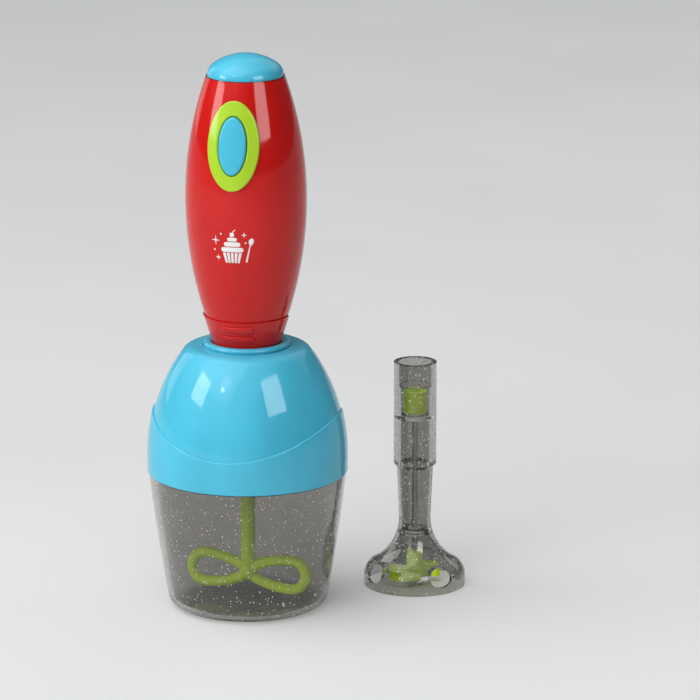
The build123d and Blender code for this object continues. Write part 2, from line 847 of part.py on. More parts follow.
def motor_shaft():
    """Motor's steel shaft, with the pinion at its lower end."""
    bottom = idler_step_z + gear_face - pinion_face
    return rod(motor_shaft_radius, bottom, motor_top_z - motor_shaft_inset - seat_gap)


def pillar_places():
    """Centres of the gearbox pillars."""
    angles = [math.radians(angle) for angle in pillar_angles]
    return [(pillar_circle * math.cos(a), pillar_circle * math.sin(a)) for a in angles]


def inner_disc(bottom, thickness):
    """Disc that fills the handle's bore at a height, with trim clearance at its narrower face."""
    radius = handle_radius(bottom) - handle_wall - trim_gap
    return rod(radius, bottom, bottom + thickness)


def gearbox_frame():
    """Lower gearbox plate with pillars; its middle hole steadies the drive shaft."""
    frame = inner_disc(frame_z, frame_thickness)
    for x, y in pillar_places():
        frame += Pos(x, y, 0) * rod(pillar_radius, frame_z, motor_plate_z)
    frame -= rod(drive_shaft_radius + running_gap, frame_z - cut_overrun, gear_z)
    frame -= Pos(gear_distance, 0, 0) * rod(idler_pin_radius, frame_z - cut_overrun, gear_z)
    screw_z = motor_z - gear_screw_grip - motor_plate_thickness
    for x, y in pillar_places():
        frame -= Pos(x, y, 0) * rod(gear_screw_radius, screw_z, motor_z)
    return frame


def motor_plate():
    """Upper gearbox plate that the motor sits on."""
    plate = inner_disc(motor_plate_z, motor_plate_thickness)
    plate -= rod(motor_nose_radius + trim_gap, motor_plate_z - cut_overrun, motor_z + cut_overrun)
    plate -= Pos(gear_distance, 0, 0) * rod(idler_pin_radius, frame_z, motor_z - terminal_thickness)
    for x, y in pillar_places():
        plate -= Pos(x, y, 0) * rod(gear_screw_radius + trim_gap, frame_z, motor_z + cut_overrun)
    return plate


def gearbox_screws():
    """Screws through the motor plate into the gearbox pillars."""
    bottom = motor_z - gear_screw_grip - motor_plate_thickness
    shank = rod(gear_screw_radius, bottom, motor_z)
    screw = shank + rod(gear_screw_head_radius, motor_z, motor_z + gear_screw_head_length)
    return [Pos(x, y, 0) * screw for x, y in pillar_places()]


def idler_pin():
    """Steel pin that the two-step gear turns on, held in both gearbox plates."""
    return Pos(gear_distance, 0, 0) * rod(idler_pin_radius, frame_z, motor_z - terminal_thickness)


def flat_sided(radius, half_depth, bottom, top):
    """Upright round bar with two flats that face front and back."""
    flats = block((-radius, -half_depth, bottom), (radius, half_depth, top))
    return rod(radius, bottom, top) & flats


def motor_can():
    """Motor's flat-sided steel can with its front bearing nose."""
    can = flat_sided(motor_radius, motor_half_depth, motor_z, motor_top_z)
    can += rod(motor_nose_radius, motor_z - motor_nose_length, motor_z)
    return can - rod(motor_shaft_radius + running_gap, frame_z, motor_top_z - motor_shaft_inset)


def motor_end_cap():
    """Motor's moulded end cap with its two terminals."""
    top = motor_top_z + motor_cap_length
    cap = flat_sided(motor_radius - motor_cap_inset, motor_half_depth - motor_cap_inset, motor_top_z, top)
    for side in (-1, 1):
        x = side * terminal_offset
        cap += block(
            (x - terminal_width / 2, -terminal_thickness / 2, top),
            (x + terminal_width / 2, terminal_thickness / 2, top + terminal_length),
        )
    return cap


def cell_places():
    """X of each battery cell, and whether its tip points up."""
    return [(-cell_spacing / 2, True), (cell_spacing / 2, False)]


def battery_cells():
    """Two cells side by side, one turned over."""
    cells = []
    for x, upright in cell_places():
        cell = rod(cell_radius, 0, cell_length)
        cell += rod(cell_tip_radius, cell_length, cell_length + cell_tip_length)
        if not upright:
            cell = mirror(cell, Plane.XY)
            cell = Pos(0, 0, cell_length + cell_tip_length) * cell
        cells.append(Pos(x, cell_depth, cell_z) * cell)
    return cells


def contact_leaf(x, wall_z, inward):
    """Bowed contact strip on an end wall of the battery bay; inward is 1 when it bows upwards."""
    reach = contact_width / 2
    near = inward * contact_bow
    far = near + inward * contact_thickness
    skin = inward * contact_thickness
    low_y = cell_depth - reach
    high_y = cell_depth + reach
    outline = [
        ThreePointArc((low_y, skin), (cell_depth, far), (high_y, skin)),
        ThreePointArc((low_y, 0), (cell_depth, near), (high_y, 0)),
        Line((low_y, 0), (low_y, skin)),
        Line((high_y, 0), (high_y, skin)),
    ]
    strip = extrude(Plane.YZ * make_face(outline), contact_width / 2, both=True)
    return Pos(x, 0, wall_z) * strip


def contact_plate(half_width, x, wall_z, inward):
    """Flat strip against an end wall of the battery bay."""
    skin = inward * contact_thickness
    reach = contact_width / 2
    low = min(wall_z, wall_z + skin)
    high = max(wall_z, wall_z + skin)
    return block((x - half_width, cell_depth - reach, low), (x + half_width, cell_depth + reach, high))


def upper_contact():
    """Contact strip that joins the two cells at the top of the bay."""
    strip = contact_plate(cell_spacing / 2 + contact_width / 2, 0, bay_top_z, -1)
    for x, _ in cell_places():
        strip += contact_leaf(x, bay_top_z, -1)
    return strip


def lower_contacts():
    """Two separate contact strips at the bottom of the bay."""
    strips = []
    for x, _ in cell_places():
        strips.append(contact_plate(contact_width / 2, x, bay_z, 1) + contact_leaf(x, bay_z, 1))
    return strips


def battery_cover():
    """Cover that closes the battery bay flush with the handle, with ribs that hold the cells."""
    skin = handle_solid(0) - handle_solid(seat_gap - handle_wall)
    cover = cover_prism(seat_gap) & skin
    cell_front = cell_depth + cell_radius + seat_gap
    reach = bay_half_width - cell_gap - seat_gap
    inside = handle_solid(-handle_wall / 2)
    for share in cover_rib_shares:
        z = bay_z + share * (bay_top_z - bay_z)
        rib = block((-reach, cell_front, z), (reach, handle_belly_radius, z + cover_rib_thickness))
        cover += rib & inside
    outer_y = handle_radius(cover_tab_z)
    pocket_radius = cover_tab_radius - seat_gap
    pocket = cross_rod(pocket_radius, 0, cover_tab_z, outer_y - cover_pocket_depth, outer_y) & inside
    cover += pocket
    head_y = outer_y - cover_screw_sink - screw_head_length
    cover -= cross_rod(screw_head_radius + trim_gap, 0, cover_tab_z, head_y, outer_y + cut_overrun)
    return cover - cross_rod(screw_radius + trim_gap, 0, cover_tab_z, 0, outer_y)


def cover_screw():
    """Screw that holds the battery cover's tab."""
    head_y = handle_radius(cover_tab_z) - cover_screw_sink - screw_head_length
    return cross_screw(0, cover_tab_z, cover_boss_start + bay_wall + seat_gap, head_y)


def wand_at(part):
    """Moves a piece drawn on the main axis to the wand's place."""
    return Pos(wand_right, wand_back, 0) * part


def wand_form(inset, bottom, top, socket):
    """Wand's body of revolution: guard, flare, tube and socket, with its surface drawn in by inset."""
    guard = (wand_guard_radius - inset, wand_guard_band - inset)
    throat = (wand_tube_radius - inset, wand_flare_height - inset)
    tube_top = (wand_tube_top_radius - inset, wand_tube_top)
    middle = tuple(guard[i] + wand_flare_share * (throat[i] - guard[i]) for i in range(2))
    return turned(
        Polyline((0, top), (0, bottom), (guard[0], bottom), guard),
        TangentArc(guard, middle, tangent=(0, 1)),
        TangentArc(throat, middle, tangent=(0, -1)),
        Polyline(throat, tube_top, (socket, wand_socket_start), (socket, top), (0, top)),
    )


def wand_housing():
    """Clear wand: a windowed guard, a slim tube and a socket for the handle's nose."""
    housing = wand_form(0, 0, wand_height, wand_socket_radius)
    housing -= wand_form(wand_wall, -cut_overrun, wand_height + cut_overrun, wand_cup_room_radius)
    housing -= rod(nose_hole_radius, wand_height - nose_length, wand_height + cut_overrun)
    inside = wand_form(wand_wall / 2, 0, wand_height, wand_cup_room_radius + wand_wall / 2)
    for web_z in (wand_low_web, wand_web_z):
        housing += rod(wand_socket_radius, web_z, web_z + wand_web) & inside
        housing -= rod(wand_bush_radius, web_z - cut_overrun, web_z + wand_web + cut_overrun)
    window = Ellipse(wand_window_width / 2, wand_window_height / 2)
    cut = extrude(Plane.XZ * (Pos(0, wand_window_level) * window), wand_guard_radius + cut_overrun)
    for i in range(wand_window_count):
        housing -= Rot(0, 0, wand_window_turn + i * 360 / wand_window_count) * cut
    return wand_at(housing)


def wand_bush(web_z, flange_z):
    """Flanged bush in a web of the wand, its flange against one face of the web."""
    bore = wand_shaft_radius + running_gap
    bush = tube(wand_bush_radius, bore, web_z, web_z + wand_web)
    return wand_at(bush + tube(wand_bush_flange_radius, bore, flange_z, flange_z + wand_bush_flange))


def wand_shaft():
    """Thin shaft from the wand's drive cup down to its blade."""
    low = blade_hub_top - cup_grip_depth
    return wand_at(rod(wand_shaft_radius, low, wand_cup_z + cup_grip_depth))


def wand_blade():
    """Blending blade: a round hub with two curved arms near the table."""
    tip = blade_reach - blade_arm_width / 2
    arm = ThreePointArc((0, 0), (blade_reach / 2, blade_bend), (tip, 0))
    outline = trace(arm, blade_arm_width) + Pos(tip, 0) * Circle(blade_arm_width / 2)
    arm_solid = Pos(0, 0, blade_floor_gap) * extrude(outline, blade_arm_height)
    blade = rod(blade_hub_radius, blade_floor_gap, blade_hub_top)
    for turn in (0, 180):
        blade += Rot(0, 0, blade_turn + turn) * arm_solid
    blade -= rod(wand_shaft_radius, blade_hub_top - cup_grip_depth, blade_hub_top + cut_overrun)
    return wand_at(blade)


def wire_run(points):
    """Round insulated wire along straight runs with bends."""
    path = FilletPolyline(*points, radius=wire_bend)
    start = Plane(origin=path @ 0, z_dir=path % 0)
    return sweep(start * Circle(wire_radius), path=path)


def lead_wires():
    """Wires from the motor and the battery bay to the lower end of the contact board, and between them."""
    terminal_z = motor_top_z + motor_cap_length + terminal_length
    bay_face_y = bay_front_y - bay_front_wall
    back = -board_depth - board_thickness
    runs = []
    for side in (-1, 1):
        x = side * terminal_offset
        pad = (button_plane() * Pos(x, -wire_end_drop, back)).position
        lead = (button_plane() * Pos(x, -wire_end_drop, back - wire_slack)).position
        if side < 0:
            runs.append([(x, 0, terminal_z), (x, 0, terminal_z + wire_rise), lead, pad])
        else:
            face_z = lead.Z
            runs.append([(x, bay_face_y, face_z), (x, bay_face_y - wire_slack, face_z), pad])
    bend_z = terminal_z + wire_rise
    bend_y = bay_face_y - wire_slack
    x = terminal_offset
    runs.append([(x, 0, terminal_z), (x, bend_y, bend_z), (x, bay_face_y, bend_z)])
    return [wire_run(points) for points in runs]


def pieces():
    """Every piece of the toy by its name; a list is a group of alike pieces."""
    return {
        "mixing_bowl": mixing_bowl(),
        "lid_dome": lid_dome(),
        "lid_bush": lid_bush(),
        "whisk": whisk(),
        "whisk_cup": drive_cup(cup_bottom_z, whisk_neck_radius),
        "front_shell": front_shell(),
        "rear_shell": rear_shell(),
        "shell_screws": shell_screws(),
        "top_cap": top_cap(),
        "button_bezel": button_bezel(),
        "button": button(),
        "rubber_dome": rubber_dome(),
        "switch_board": switch_board(),
        "switch_screws": switch_screws(),
        "nose_spigot": nose_spigot(),
        "nose_bush": nose_bush(),
        "drive_shaft": drive_shaft(),
        "output_gear": output_gear(),
        "idler_gear": idler_gear(),
        "idler_pin": idler_pin(),
        "motor_pinion": motor_pinion(),
        "motor_shaft": motor_shaft(),
        "gearbox_frame": gearbox_frame(),
        "motor_plate": motor_plate(),
        "gearbox_screws": gearbox_screws(),
        "motor_can": motor_can(),
        "motor_end_cap": motor_end_cap(),
        "battery_cells": battery_cells(),
        "upper_contact": upper_contact(),
        "lower_contacts": lower_contacts(),
        "lead_wires": lead_wires(),
        "battery_cover": battery_cover(),
        "cover_screw": cover_screw(),
        "wand_housing": wand_housing(),
        "wand_upper_bush": wand_bush(wand_web_z, wand_web_z + wand_web),
        "wand_lower_bush": wand_bush(wand_low_web, wand_low_web - wand_bush_flange),
        "wand_cup": wand_at(drive_cup(wand_cup_z, wand_shaft_radius)),
        "wand_shaft": wand_shaft(),
        "wand_blade": wand_blade(),
    }


os.makedirs("parts", exist_ok=True)
for name, piece in pieces().items():
    shape = Compound(children=piece) if isinstance(piece, list) else piece
    export_step(shape, os.path.join("parts", name + ".step"))
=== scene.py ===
"""Looks of the toy hand mixer: gloss red and cyan plastic, smoky flaked plastic, and a soft studio."""

import json
import math
import random

import bmesh
import bpy
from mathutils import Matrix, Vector
from mathutils.bvhtree import BVHTree


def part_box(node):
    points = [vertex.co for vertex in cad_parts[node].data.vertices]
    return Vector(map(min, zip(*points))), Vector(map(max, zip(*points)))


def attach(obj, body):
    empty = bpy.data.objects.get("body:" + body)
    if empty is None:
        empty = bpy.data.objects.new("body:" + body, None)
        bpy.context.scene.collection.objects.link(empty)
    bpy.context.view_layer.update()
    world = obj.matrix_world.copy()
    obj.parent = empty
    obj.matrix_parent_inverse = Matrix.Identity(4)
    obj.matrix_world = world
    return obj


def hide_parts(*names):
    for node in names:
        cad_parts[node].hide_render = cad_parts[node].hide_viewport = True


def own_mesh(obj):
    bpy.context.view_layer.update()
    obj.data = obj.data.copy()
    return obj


# Camera at the photograph's angle, in metres and degrees
view_azimuth = 12.5
view_elevation = 14.5
view_distance = 2.3
view_width = 0.35
sensor_width = 0.036
aim_height = 0.1315
aim_right = 0.0515
millimetres_in_metre = 1000

# Lamps, with distances in metres
near_lamp = 0.55
far_lamp = 1.6
lamp_target = (0.02, 0.0, 0.14)

# Each lamp as seen from the object: azimuth, elevation, width and height in degrees, distance, brightness
softboxes = {
    "ceiling": (-45, 60, 58, 58, far_lamp, 1.2),
    "rear": (150, 40, 50, 36, far_lamp, 0.5),
}

# Cards that are only seen as reflections, and fills that are not seen as reflections
cards = {
    "window_left": (-60, 25, 20, 16, near_lamp, 7.4),
    "window_right": (52, 31, 26, 25, near_lamp, 6.5),
    "front_spot": (-23, 42, 13, 8, far_lamp, 2.0),
    "front_glint": (-27, 36.5, 5, 3, far_lamp, 12.0),
    "left_rim": (-122, 16, 22, 30, far_lamp, 0.9),
}
fills = {
    "front_fill": (-28, 14, 50, 26, far_lamp, 1.9),
    "front_glow": (-23, 42, 26, 16, far_lamp, 2.0),
}

# Lamps for the green pieces alone, which stand behind smoky walls
green_lamps = {
    "green_front": (-28, 14, 50, 26, far_lamp, 2.2),
    "green_rear": (152, 14, 50, 26, far_lamp, 1.8),
}

# Sky, brightest in one direction, and fading over a range of the cosine from there
sky_azimuth = -55
sky_elevation = 66
sky_range = (0.45, 0.95)
sky_brightness = (0.12, 1.4)
sky_colour = (0.97, 0.98, 1.0)

# Floor, in metres
floor_reach = 9.0
floor_drop = 0.0002
floor_colour = (0.72, 0.72, 0.715)
floor_tone_share = 0.98
floor_gloss = (0.65, 0.75)

# White print on the handle's front, in metres
print_drop = 0.029
print_unit = 0.00115
print_lift = 0.00003
print_film = 0.00004
print_step = 0.0004
print_weld = 0.0000002

# Artwork of the print, in shares of its unit
pleat_count = 5
pleat_foot_share = (1.35, -6.2)
pleat_head_share = (1.85, -1.7)
pleat_width_shares = (0.95, 1.3)
swirl_shares = ((-0.3, 4.0, 2.1), (2.1, 2.7, 2.0), (4.3, 1.3, 1.7))
cherry_shares = (6.4, 0.0, 2.0)
stem_shares = ((0.3, 7.2), (0.7, 8.0), (1.5, 8.7))
stem_width_shares = (0.5, 0.4, 0.3)
spoon_shares = ((6.4, -5.8), (7.7, 0.2), (8.2, 2.6))
spoon_width_shares = (0.9, 0.55, 0.6)
spoon_bowl_shares = ((8.0, 1.7), (8.25, 2.4), (8.5, 3.4), (8.75, 4.4), (8.85, 4.9))
spoon_bowl_width_shares = (0.5, 1.7, 2.3, 1.7, 0.3)
sparkle_shares = ((-7.6, 3.6, 2.0), (-6.7, -4.0, 1.3), (5.4, 6.4, 1.2))
sparkle_width_shares = (0.08, 0.7, 0.08)
dot_shares = ((-5.0, 6.6), (-8.4, -0.6), (6.0, 2.9))
dot_width_share = 0.8
round_steps = 16
least_steps = 2

# Silver flakes in the clear plastic, in metres; their tilt is a spread about the wall's direction
flake_low = 0.00020
flake_high = 0.00038
flake_depth = 0.0006
flake_thickness = 0.00006
flake_tilt = 0.3
flake_corners = 6
bowl_flake_count = 1500
wand_flake_count = 800
chance_seed = 7

# Rubber dome's profile from its pill inside, round its foot, to its top: shares of its radius and height
dome_profile_shares = (
    (0.3, 0.42), (0.36, 0.46), (0.37, 0.78), (0.5, 0.66), (0.72, 0.16), (0.78, 0.0), (1.0, 0.0),
    (1.0, 0.16), (0.97, 0.2), (0.89, 0.22), (0.84, 0.28), (0.66, 0.7), (0.55, 0.93), (0.5, 1.0),
)
dome_sides = 48

# Edges that bend by more degrees than this stay sharp
sharp_angle = 28

# Surface relief, in metres, and how strongly it shows
peel_depth = 0.00004
fine_peel_depth = 0.00002
coarse_peel_depth = 0.00008
ripple_depth = 0.0004
grain_depth = 0.00003
peel_strength = 0.25
scuff_strength = 0.05
ripple_strength = 0.15
grain_strength = 0.1

# Painted shadow on hairline joints just behind the front shell and under the handle's cap, where shade
# falls in the gaps between parts, in metres
parting_shadow_place = 0.00016
parting_shadow_half = 0.00014
cap_shadow_half = 0.00035
painted_joint_shadow_share = 0.22

# Noise patterns: scale per metre, detail, and stretch where it is not even
flow_noise = (40, 3, (1, 1, 0.4))
gloss_noise = (160, 5)
peel_noise = (260, 2)
scuff_noise = (1800, 3, (1, 1, 0.03))
smoke_flow_noise = (30, 2)
smoke_gloss_noise = (120, 4)
ripple_noise = (55, 1)
steel_noise = (900, 4, (1, 1, 0.05))
strip_noise = (1200, 4, (0.05, 1, 1))
flake_noise = (900, 1)
floor_noise = (6, 2)
noise_middle = (0.3, 0.7)

# Colours of flow marks and worn grain, as shares of the main colour
flow_share = 0.86
smoke_flow_share = 0.93
grain_share = 0.8

# Moulded plastics by slot: name, colour, gloss as a range of roughness, and depth of relief
plastics = {
    "red_abs": ("red_plastic", (0.60, 0.008, 0.006), (0.05, 0.11), peel_depth),
    "cyan_abs": ("cyan_plastic", (0.075, 0.52, 0.72), (0.05, 0.11), peel_depth),
    "lime_abs": ("lime_plastic", (0.42, 0.68, 0.03), (0.10, 0.2), peel_depth),
    "green_pp": ("green_plastic", (0.62, 0.88, 0.03), (0.12, 0.2), peel_depth),
    "white_acetal": ("white_plastic", (0.82, 0.82, 0.78), (0.3, 0.45), peel_depth),
    "black_plastic": ("black_plastic", (0.022, 0.022, 0.024), (0.35, 0.55), coarse_peel_depth),
    "silicone": ("grey_rubber", (0.42, 0.42, 0.42), (0.55, 0.75), coarse_peel_depth),
    "wire_cover": ("wire_cover", (0.05, 0.05, 0.055), (0.35, 0.5), fine_peel_depth),
    "board": ("board", (0.40, 0.25, 0.09), (0.45, 0.6), peel_depth),
    "cell_wrap": ("cell_wrap", (0.08, 0.085, 0.09), (0.2, 0.32), fine_peel_depth),
}
print_look = ("white_print", (0.88, 0.88, 0.87), (0.3, 0.42), fine_peel_depth)
plastic_index = 1.4

# Smoky clear plastic; a share of each lamp passes its wall
smoke_tint = (0.47, 0.46, 0.435)
smoke_gloss = (0.015, 0.05)
smoke_lamp_share = 0.97
smoke_index = 1.49

# Metals by slot: name, colour, gloss and grain
metals = {
    "steel": ("steel", (0.66, 0.66, 0.67), (0.18, 0.34), steel_noise),
    "spring_contact": ("contact_strip", (0.76, 0.75, 0.72), (0.15, 0.28), strip_noise),
}

# Silver of the flakes, with a painted glow: they emit a little light, though they are no lamp, to show
# through the smoky wall
silver_colour = (0.95, 0.95, 0.97)
silver_gloss = (0.2, 0.4)
silver_metal = 0.4
silver_painted_glow = 0.4

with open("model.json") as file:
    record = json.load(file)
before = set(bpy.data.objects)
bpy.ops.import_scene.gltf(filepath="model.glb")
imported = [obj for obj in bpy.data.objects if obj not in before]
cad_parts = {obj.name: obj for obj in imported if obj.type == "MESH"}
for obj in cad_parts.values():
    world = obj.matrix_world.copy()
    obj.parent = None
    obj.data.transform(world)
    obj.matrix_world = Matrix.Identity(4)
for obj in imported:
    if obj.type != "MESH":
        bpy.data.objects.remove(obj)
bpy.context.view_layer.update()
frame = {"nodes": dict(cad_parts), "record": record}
nodes = frame["nodes"]
subparts = frame["record"]["subparts"]
scene = bpy.context.scene
chance = random.Random(chance_seed)


def shader_material(name):
    """New material with its node tree and its Principled shader."""
    material = bpy.data.materials.new(name)
    material.use_nodes = True
    tree = material.node_tree
    return material, tree, tree.nodes["Principled BSDF"]


def noise(tree, scale, detail, stretch=(1, 1, 1)):
    """Noise pattern in the object's own coordinates; scale is per metre."""
    place = tree.nodes.new("ShaderNodeTexCoord")
    mapping = tree.nodes.new("ShaderNodeMapping")
    mapping.inputs["Scale"].default_value = stretch
    texture = tree.nodes.new("ShaderNodeTexNoise")
    texture.inputs["Scale"].default_value = scale
    texture.inputs["Detail"].default_value = detail
    tree.links.new(place.outputs["Object"], mapping.inputs["Vector"])
    tree.links.new(mapping.outputs["Vector"], texture.inputs["Vector"])
    return texture.outputs[0]


def two_tone(tree, source, colour, share):
    """Colour that varies with a pattern between a share of itself and its full value."""
    node = tree.nodes.new("ShaderNodeValToRGB")
    dark, full = node.color_ramp.elements
    dark.position, full.position = noise_middle
    dark.color = (*[share * c for c in colour], 1.0)
    full.color = (*colour, 1.0)
    tree.links.new(source, node.inputs["Fac"])
    return node.outputs["Color"]


def spread(tree, source, low, high, middle=noise_middle):
    """Maps a pattern's middle range onto low to high."""
    node = tree.nodes.new("ShaderNodeMapRange")
    node.inputs["From Min"].default_value = middle[0]
    node.inputs["From Max"].default_value = middle[1]
    node.inputs["To Min"].default_value = low
    node.inputs["To Max"].default_value = high
    tree.links.new(source, node.inputs["Value"])
    return node.outputs["Result"]


def painted_joint_shadows(tree, colour, shade, joints):
    """Paints shadow: darkens a colour on thin lines across the object, each at a place along one axis,
    where shade falls in the joints between parts.
    """
    place = tree.nodes.new("ShaderNodeTexCoord")
    parts = tree.nodes.new("ShaderNodeSeparateXYZ")
    tree.links.new(place.outputs["Object"], parts.inputs["Vector"])
    for axis, level, half in joints:
        line = tree.nodes.new("ShaderNodeMath")
        line.operation = "COMPARE"
        line.inputs[1].default_value = level
        line.inputs[2].default_value = half
        tree.links.new(parts.outputs[axis], line.inputs[0])
        mix = tree.nodes.new("ShaderNodeMixRGB")
        mix.inputs["Color2"].default_value = (*shade, 1.0)
        tree.links.new(line.outputs["Value"], mix.inputs["Fac"])
        tree.links.new(colour, mix.inputs["Color1"])
        colour = mix.outputs["Color"]
    return colour


def relief(tree, shader, layers):
    """Stacks bump layers, each a pattern with its strength and depth in metres."""
    normal = None
    for source, strength, depth in layers:
        node = tree.nodes.new("ShaderNodeBump")
        node.inputs["Strength"].default_value = strength
        node.inputs["Distance"].default_value = depth
        tree.links.new(source, node.inputs["Height"])
        if normal is not None:
            tree.links.new(normal, node.inputs["Normal"])
        normal = node.outputs["Normal"]
    tree.links.new(normal, shader.inputs["Normal"])


def moulded(name, colour, gloss, depth, joints=()):
    """Moulded plastic: faint colour flow, patchy gloss, orange peel, hairline scuffs and painted shadow in
    the joints.
    """
    material, tree, shader = shader_material(name)
    tone = two_tone(tree, noise(tree, *flow_noise), colour, flow_share)
    # Painted shadow in the joints: a dark share of the colour
    shade = [painted_joint_shadow_share * c for c in colour]
    tree.links.new(painted_joint_shadows(tree, tone, shade, joints), shader.inputs["Base Color"])
    tree.links.new(spread(tree, noise(tree, *gloss_noise), *gloss), shader.inputs["Roughness"])
    shader.inputs["IOR"].default_value = plastic_index
    peel = noise(tree, *peel_noise)
    scuffs = noise(tree, *scuff_noise)
    relief(tree, shader, [(peel, peel_strength, depth), (scuffs, scuff_strength, depth / 2)])
    return material


def smoky(name, tint, gloss, lamp_share):
    """Smoky clear plastic that lets a share of each lamp through, with faint flow ripples."""
    material, tree, shader = shader_material(name)
    tone = two_tone(tree, noise(tree, *smoke_flow_noise), tint, smoke_flow_share)
    tree.links.new(tone, shader.inputs["Base Color"])
    tree.links.new(spread(tree, noise(tree, *smoke_gloss_noise), *gloss), shader.inputs["Roughness"])
    shader.inputs["Transmission Weight"].default_value = 1.0
    shader.inputs["IOR"].default_value = smoke_index
    relief(tree, shader, [(noise(tree, *ripple_noise), ripple_strength, ripple_depth)])
    passing = tree.nodes.new("ShaderNodeBsdfTransparent")
    passing.inputs["Color"].default_value = (lamp_share, lamp_share, lamp_share, 1.0)
    path = tree.nodes.new("ShaderNodeLightPath")
    mix = tree.nodes.new("ShaderNodeMixShader")
    output = tree.nodes["Material Output"]
    tree.links.new(path.outputs["Is Shadow Ray"], mix.inputs[0])
    tree.links.new(shader.outputs["BSDF"], mix.inputs[1])
    tree.links.new(passing.outputs["BSDF"], mix.inputs[2])
    tree.links.new(mix.outputs["Shader"], output.inputs["Surface"])
    return material


def metal(name, colour, gloss, grain):
    """Drawn or turned metal with grain along one way."""
    material, tree, shader = shader_material(name)
    lines = noise(tree, *grain)
    tree.links.new(two_tone(tree, lines, colour, grain_share), shader.inputs["Base Color"])
    tree.links.new(spread(tree, lines, *gloss), shader.inputs["Roughness"])
    shader.inputs["Metallic"].default_value = 1.0
    relief(tree, shader, [(lines, grain_strength, grain_depth)])
    return material


def flaked(name, colour, gloss):
    """Silver flake that glows with painted light."""
    material, tree, shader = shader_material(name)
    tone = noise(tree, *flake_noise)
    tree.links.new(two_tone(tree, tone, colour, grain_share), shader.inputs["Base Color"])
    tree.links.new(spread(tree, tone, *gloss), shader.inputs["Roughness"])
    shader.inputs["Metallic"].default_value = silver_metal
    # Painted glow in the flake's own colour
    shader.inputs["Emission Color"].default_value = (*colour, 1.0)
    shader.inputs["Emission Strength"].default_value = silver_painted_glow
    relief(tree, shader, [(tone, grain_strength, fine_peel_depth)])
    return material


# Looks by slot; the red shells carry painted shadow on the lines where they part and where the cap sits
shell_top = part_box("front_shell")[1][2]
joint_shadows_by_slot = {"red_abs": [("Y", parting_shadow_place, parting_shadow_half), ("Z", shell_top, cap_shadow_half)]}
looks = {slot: moulded(*values, joint_shadows_by_slot.get(slot, ())) for slot, values in plastics.items()}
looks.update({slot: metal(*values) for slot, values in metals.items()})
looks["clear_smoke"] = smoky("smoky_plastic", smoke_tint, smoke_gloss, smoke_lamp_share)
print_white = moulded(*print_look)
silver = flaked("silver_flake", silver_colour, silver_gloss)

# CAD nodes take the look of their slot
for part in subparts:
    node = nodes[part["node"]]
    node.data.materials.clear()
    node.data.materials.append(looks[part["material_slot"]])
    node.data.shade_smooth()
    node.data.set_sharp_from_angle(angle=math.radians(sharp_angle))


def surface_of(node_name):
    """Surface of a CAD node, for finding places on it."""
    mesh = nodes[node_name].data
    return BVHTree.FromPolygons([v.co for v in mesh.vertices], [tuple(p.vertices) for p in mesh.polygons])


# Front shell, which carries the print below the bezel
shell_surface = surface_of("front_shell")
shell_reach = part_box("front_shell")[1][0]
print_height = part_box("button_bezel")[0][2] - print_drop


def on_handle(across, up):
    """Point of the print on the front shell, from its place in the flat artwork."""
    angle = across / shell_reach
    outward = Vector((math.sin(angle), -math.cos(angle), 0))
    start = Vector((0, 0, print_height + up)) + 2 * shell_reach * outward
    place, normal, _, _ = shell_surface.ray_cast(start, -outward)
    return place + print_lift * normal


def mesh_piece(name, points, faces, material, body):
    """Makes a mesh piece that rides on a CAD body."""
    mesh = bpy.data.meshes.new(name)
    mesh.from_pydata(points, [], faces)
    mesh.materials.append(material)
    mesh.shade_smooth()
    piece = bpy.data.objects.new(name, mesh)
    scene.collection.objects.link(piece)
    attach(piece, body)
    return piece


def stroke(points, faces, path_shares, width_shares):
    """Adds a printed stroke of varying width along a flat path, finely stepped to follow the handle."""
    path = [Vector((x, y)) * print_unit for x, y in path_shares]
    widths = [w * print_unit for w in width_shares]
    dense = []
    for a, b, wa, wb in zip(path, path[1:], widths, widths[1:]):
        steps = max(least_steps, math.ceil((b - a).length / print_step))
        dense += [(a.lerp(b, i / steps), wa + (wb - wa) * i / steps) for i in range(steps)]
    dense.append((path[-1], widths[-1]))
    first = len(points)
    lanes = max(least_steps, math.ceil(max(widths) / print_step))
    for i, (place, width) in enumerate(dense):
        along = (dense[min(i + 1, len(dense) - 1)][0] - dense[max(i - 1, 0)][0]).normalized()
        side = Vector((-along.y, along.x))
        for lane in range(lanes + 1):
            spot = place + side * width * (lane / lanes - 1 / 2)
            points.append(on_handle(spot.x, spot.y))
    row = lanes + 1
    for i in range(len(dense) - 1):
        for lane in range(lanes):
            a = first + i * row + lane
            faces.append((a, a + row, a + row + 1, a + 1))


def pill(points, faces, across_share, up_share, half_share, width_share):
    """Adds a printed bar with round ends; with no half length it is a dot."""
    radius = width_share / 2
    turns = [math.pi / 2 * i / round_steps for i in range(round_steps + 1)]
    left = [(-half_share - radius * math.cos(a), width_share * math.sin(a)) for a in turns]
    right = [(-x, w) for x, w in reversed(left)]
    both = left + right if half_share > 0 else left + right[1:]
    stroke(points, faces, [(across_share + x, up_share) for x, _ in both], [w for _, w in both])


